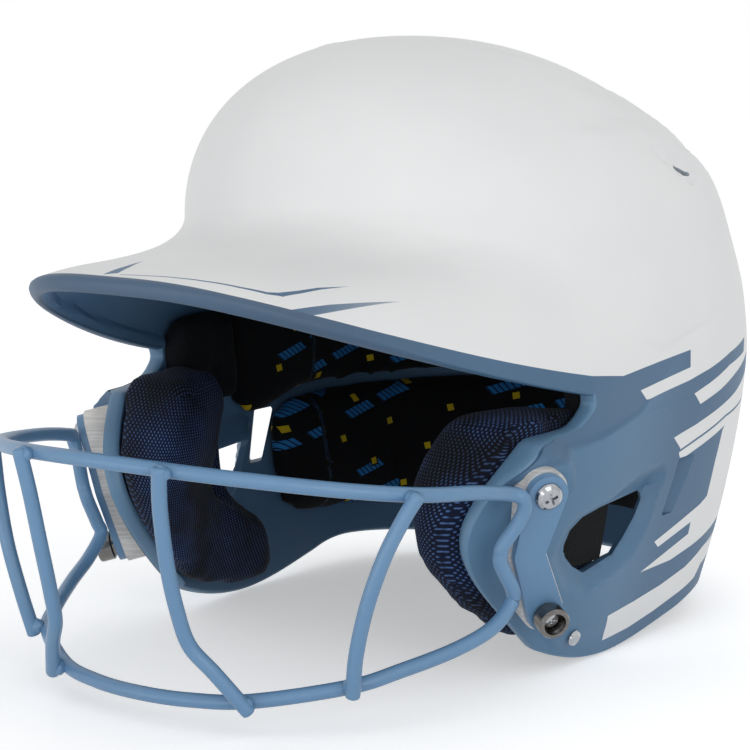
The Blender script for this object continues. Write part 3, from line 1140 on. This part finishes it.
def buildPads():
    f = padForm
    rad = math.radians
    print("crown pad")
    v, u = shareGrid(16, 16, -1)
    cx, cy = u * np.sqrt(1 - v * v / 2), v * np.sqrt(1 - u * u / 2)
    n = unit(np.stack([cx * 0.45, cy * 0.45 - 0.35, 1 + 0 * cx], -1))
    outer = capPoint(cx, cy) - n * (sf["wall"] + f["gap"] + 0.6)
    inner = outer - n * (f["liner"] * (0.25 + 0.75 * crowned((u + 1) / 2, (v + 1) / 2, 2)))[..., None]
    makePad("crownPad", outer, inner, liningCloth, "top", ("crown_pad",))
    # name, surface, its two spans, thickness, cells, channels, cloth and nodes
    table = [
        ("frontPad", domePoint, (rad(-127), rad(-53)), (127, 91), f["liner"], (12, 26), 3, liningCloth, ("front_pad",)),
        ("backPad", domePoint, (rad(63), rad(117)), (73, 1), f["bolster"], (16, 20), 2, liningCloth, ("back_pad",)),
        ("rearPad", flapWall, (-0.21, pi + 0.21), (2.6, -51.4), f["bolster"], (12, 44), 5, liningCloth, ("rear_pad",)),
        ("leftUpperPad", domePoint, (rad(-13), rad(49)), (123, 89), f["liner"], (12, 20), 2, liningCloth,
         ("left_upper_pad", "right_upper_pad")),
        ("leftBackPad", domePoint, (rad(10), rad(58)), (84.5, 44.5), f["liner"], (12, 16), 2, liningCloth,
         ("left_back_pad", "right_back_pad")),
        ("leftSidePad", sideFall, (-0.40, 1.04), (42.6, 3.4), f["liner"], (12, 28), 2, liningCloth,
         ("left_side_pad", "right_side_pad")),
        ("leftTemplePad", templeFall, (1.0, 1.16), (1.66, 2.36), f["liner"], (14, 18), 2, plainCloth,
         ("left_temple_pad", "right_temple_pad")),
    ]
    centre = np.array([0, 105.0, 40.0])
    for name, pointAt, aSpan, bSpan, thick, cells, channels, cloth, nodeNames in table:
        print(name)
        step = (0.01, 0.01) if pointAt is templeFall else (0.02, 1.0)
        for sign in (1, -1):
            outer, inner = patchPad(pointAt, aSpan, bSpan, thick, cells, channels, step, sign)
            mid = (outer.shape[0] // 2, outer.shape[1] // 2)
            if (inner[mid] - outer[mid]) @ (centre - outer[mid]) >= 0:
                break
        makePad(name, outer, inner, cloth, "round", nodeNames)
    print("jaw pads")
    outer, inner = jawGrids(30, 34)
    makePad("leftJawPad", outer, inner, meshCloth, "jaw", ("left_jaw_pad", "right_jaw_pad"))


buildPads()


# wire guard: round steel rod along smooth curves, welded at the crossings
guard = {
    "wire": 5.1, "sides": 20, "steps": 10, "sunk": 0.2, "beadRadius": 2.9, "beadLength": 3.5,
    # along and up the left mount plate, then in mm through the air to the middle
    "topPlate": [(-17.9, -17.2), (-17.6, -15.2), (-15.3, -11.6), (-11.8, -6.8), (-9.6, -1.8), (-10.8, 2.6)],
    "topEnd": (-15.5, 4.6), "topEndSunk": 0.3,
    "topAir": [(95.2, -30, 6), (89.2, -54, 8.6), (74, -76, 12), (50, -95.5, 15.8), (26.8, -108, 18.5),
               (0, -113.3, 19.8)],
    "lowPlate": [(-17.9, -17.5), (-18.1, -19.4), (-17.6, -22), (-15.6, -26.5), (-13.2, -32), (-13.2, -37)],
    "lowAir": [(90.5, -12, -44), (85.5, -27, -49), (76.5, -45.5, -53.4), (66.5, -61.5, -57), (40.7, -80.5, -61.6),
               (20, -87.5, -62.9), (0, -90, -63)],
    "outerBar": [(92.3, -60.1, 9.4), (89, -62.8, 2.4), (84, -66.2, -9.8), (78.4, -68.2, -26.6), (73.3, -67.2, -44),
                 (70.1, -64.6, -58.4)],
    "innerBar": [(29.7, -113, 19.4), (28, -110.6, 6), (27.2, -106.6, -12.8), (27.5, -102.2, -28.6), (29.1, -98, -40.9),
                 (35.2, -92.8, -50.3), (42.6, -84.9, -63.6)]}


def spline(points, steps):
    # Catmull-Rom curve through the points, as one array
    p = np.array(points, float)
    e = np.concatenate([[2 * p[0] - p[1]], p, [2 * p[-1] - p[-2]]])
    a, b, c, d = e[:-3, None], e[1:-2, None], e[2:-1, None], e[3:, None]
    t = (np.arange(steps) / steps)[None, :, None]
    q = 0.5 * (2 * b + (c - a) * t + (2 * a - 5 * b + 4 * c - d) * t ** 2 + (3 * b - a - 3 * c + d) * t ** 3)
    return np.concatenate([q.reshape(-1, 3), p[-1:]])


def rod(line, radius, sides, reference):
    # a circle carried along a line, its ends drawn in to a domed cut
    p = np.asarray(line, float)
    d = unit(np.gradient(p, axis=0))
    lead = 0.45 * radius
    p = np.concatenate([p[:1] - d[:1] * lead * out for out in (1, 0.9, 0.5)] + [p]
                       + [p[-1:] + d[-1:] * lead * out for out in (0.5, 0.9, 1)])
    shrink = [0.02, 0.72, 0.95]
    r = np.array(shrink + [1.0] * len(d) + shrink[::-1]) * radius
    d = np.concatenate([d[:1]] * 3 + [d] + [d[-1:]] * 3)
    u = unit(np.cross(reference, d))
    v = np.cross(d, u)
    t = (np.arange(sides) / sides * 2 * pi)[None, :, None]
    ring = p[:, None] + r[:, None, None] * (np.cos(t) * u[:, None] + np.sin(t) * v[:, None])
    count = len(p)
    caps = [list(range(sides)), list(range(count * sides - 1, (count - 1) * sides - 1, -1))]
    return ring.reshape(-1, 3), gridFaces(count, sides, 0, True)[:, ::-1].tolist() + caps


def bothHalves(points):
    p = np.array(points, float)
    return np.concatenate([p, (p[:-1] * [-1, 1, 1])[::-1]])


def weldBead(centre, along, radius, length, seed):
    # a lump of weld metal round a joint: an ellipsoid with slow ripples in its radius
    t, f = np.meshgrid(np.linspace(0, pi, 13), np.arange(20) / 20 * 2 * pi, indexing="ij")
    r = radius * (1 + 0.06 * np.sin(3 * f + seed) + 0.05 * np.sin(2 * t + 5 * f + seed))
    d = unit(along)
    u = unit(np.cross([0.3, 0.2, 1.0], d))
    v = np.cross(d, u)
    p = centre + (length * np.cos(t))[..., None] * d \
        + (r * np.sin(t))[..., None] * (np.cos(f)[..., None] * u + np.sin(f)[..., None] * v)
    return p.reshape(-1, 3), gridFaces(13, 20, 0, True).tolist()


def steelPiece(name, points, faces, angle, replaced):
    obj = newPiece(name, points, faces, (steelBlue,), angle)
    outwardFaces(obj)
    shade(obj, angle)
    keep(obj, replaced)


def buildGuard():
    r = guard["wire"] / 2
    rise = r - guard["sunk"]
    top = [onPlate(x, y, rise) for x, y in guard["topPlate"]] \
        + [onPlate(*guard["topEnd"], rise - guard["topEndSunk"])] + [np.array(q) for q in guard["topAir"]]
    low = [onPlate(x, y, rise) for x, y in guard["lowPlate"]] + [np.array(q) for q in guard["lowAir"]]
    outer, inner = np.array(guard["outerBar"]), np.array(guard["innerBar"])
    flip = np.array([-1.0, 1, 1])
    alongWire, acrossBar = [0.31, 0.21, 1], [1, 0, 0]
    for name, line, reference, node in (("guardTopWire", bothHalves(top), alongWire, "guard_top_wire"),
                                        ("guardLowerWire", bothHalves(low), alongWire, "guard_lower_wire"),
                                        ("guardBarLeftOuter", outer, acrossBar, "guard_bar_left_outer"),
                                        ("guardBarLeftInner", inner, acrossBar, "guard_bar_left_inner"),
                                        ("guardBarRightInner", inner * flip, acrossBar, "guard_bar_right_inner"),
                                        ("guardBarRightOuter", outer * flip, acrossBar, "guard_bar_right_outer")):
        points, faces = rod(spline(line, guard["steps"]), r, guard["sides"], reference)
        steelPiece(name, points, faces, 50, (node,))
    beads = []
    for k, bar in enumerate((outer, inner)):
        for s in (1, -1):
            for end, following, out in ((0, 1, 1.2), (-1, -2, 2.6)):
                q, d = bar[end] * [s, 1, 1], (bar[following] - bar[end]) * [s, 1, 1]
                middle = q + unit(d) * out + unit([-q[0], -q[1], 0]) * 1.6
                run = np.cross(d, [0.2, 0.9, 0.1])
                beads.append(weldBead(middle, run, guard["beadRadius"], guard["beadLength"], k + end))
    points, faces = joinParts(beads)
    steelPiece("guardWeldBeads", points, faces, 60, ())


buildGuard()
print("guard made")

# carried-over solids get their real finishes
finishes = {"mount_plate": plateBlue, "spacer": spacerGrey, "upper_screw": chrome, "strap_stud": darkNickel,
            "lower_screw": chrome, "upper_nut": zinc, "lower_nut": zinc, "flap_rivet": bareSteel,
            "tape_patch": hookTape}
for side in ("left", "right"):
    for part, material in finishes.items():
        obj = nodes[f"{side}_{part}"]
        obj.data.materials.clear()
        obj.data.materials.append(material)

# camera from the photograph: 750 x 750, 120 mm lens on a 36 mm sensor, 35 degrees to the left of the front
view = {"turn": 35, "height": 8.793, "lens": 120, "sensor": 36, "place": (0.529157, -0.766554, 0.241684)}


def buildCamera():
    az, el = math.radians(view["turn"]), math.radians(view["height"])
    back = Vector((math.sin(az) * math.cos(el), -math.cos(az) * math.cos(el), math.sin(el)))
    cam = bpy.data.cameras.new("camera")
    cam.lens, cam.sensor_width, cam.clip_end = view["lens"], view["sensor"], 20
    obj = addObject("camera", cam)
    obj.location = view["place"]
    obj.rotation_euler = back.to_track_quat("Z", "Y").to_euler()
    bpy.context.scene.camera = obj


# place and target in metres, size in metres, watts
areaLights = {"keyLight": ((1.9, -1.1, 0.75), (0, 0, 0.1), (1.3, 1.3), 12),
              "frontLight": ((0.5, -2.1, 0.16), (0, 0, 0.1), (1.4, 0.5), 4.0),
              "lowLight": ((-0.3, -0.95, 0.03), (0, -0.1, 0.14), (0.9, 0.1), 1.6),
              "topLight": ((0.4, 0.3, 2.0), (0, 0, 0.1), (1.6, 1.6), 1.2)}
studio = {"worldLight": 0.68, "worldColour": "#fafafa", "floorGlow": 0.42, "floorColour": "#f3f4f5", "floorHalf": 30,
          "floorLevel": -0.0005}


def seenByEye(tree):
    # 1 for what the camera and mirrors see, 0 for light that falls on things
    path = addNode(tree, "LightPath")
    mirror = addNode(tree, "Math", [(path, "Is Glossy Ray"), (path, "Is Transmission Ray")], operation="MAXIMUM")
    return addNode(tree, "Math", [(path, "Is Camera Ray"), mirror], operation="MAXIMUM")


def buildStudio():
    # white world to the eye and in mirrors, softer as a light
    world = bpy.data.worlds.new("studio")
    bpy.context.scene.world = world
    world.use_nodes = True
    t = world.node_tree
    t.nodes.clear()
    plain = addNode(t, "Background", {"Color": "#ffffff", "Strength": 1.0})
    soft = addNode(t, "Background", {"Color": studio["worldColour"], "Strength": studio["worldLight"]})
    addNode(t, "OutputWorld", [addNode(t, "MixShader", [seenByEye(t), soft, plain])])
    for name, (place, target, size, power) in areaLights.items():
        light = bpy.data.lights.new(name, "AREA")
        light.shape, light.size, light.size_y, light.energy = "RECTANGLE", size[0], size[1], power
        obj = addObject(name, light)
        obj.location = place
        obj.rotation_euler = (Vector(place) - Vector(target)).to_track_quat("Z", "Y").to_euler()
    # pale matt floor that glows a little to the eye, so that it meets the white without an edge
    m, t = newMaterial("paleFloor")
    strength = addNode(t, "Math", [seenByEye(t), studio["floorGlow"]], operation="MULTIPLY")
    glow = addNode(t, "Emission", {"Color": "#ffffff", "Strength": strength})
    matt = addNode(t, "BsdfDiffuse", {"Color": studio["floorColour"]})
    addNode(t, "OutputMaterial", [addNode(t, "AddShader", [matt, glow])])
    half, level = studio["floorHalf"], studio["floorLevel"]
    mesh = bpy.data.meshes.new("floor")
    corners = [(-half, -half, level), (half, -half, level), (half, half, level), (-half, half, level)]
    mesh.from_pydata(corners, [], [(0, 1, 2, 3)])
    mesh.materials.append(m)
    addObject("floor", mesh)


buildCamera()
buildStudio()
bpy.context.scene.view_settings.view_transform = "Standard"
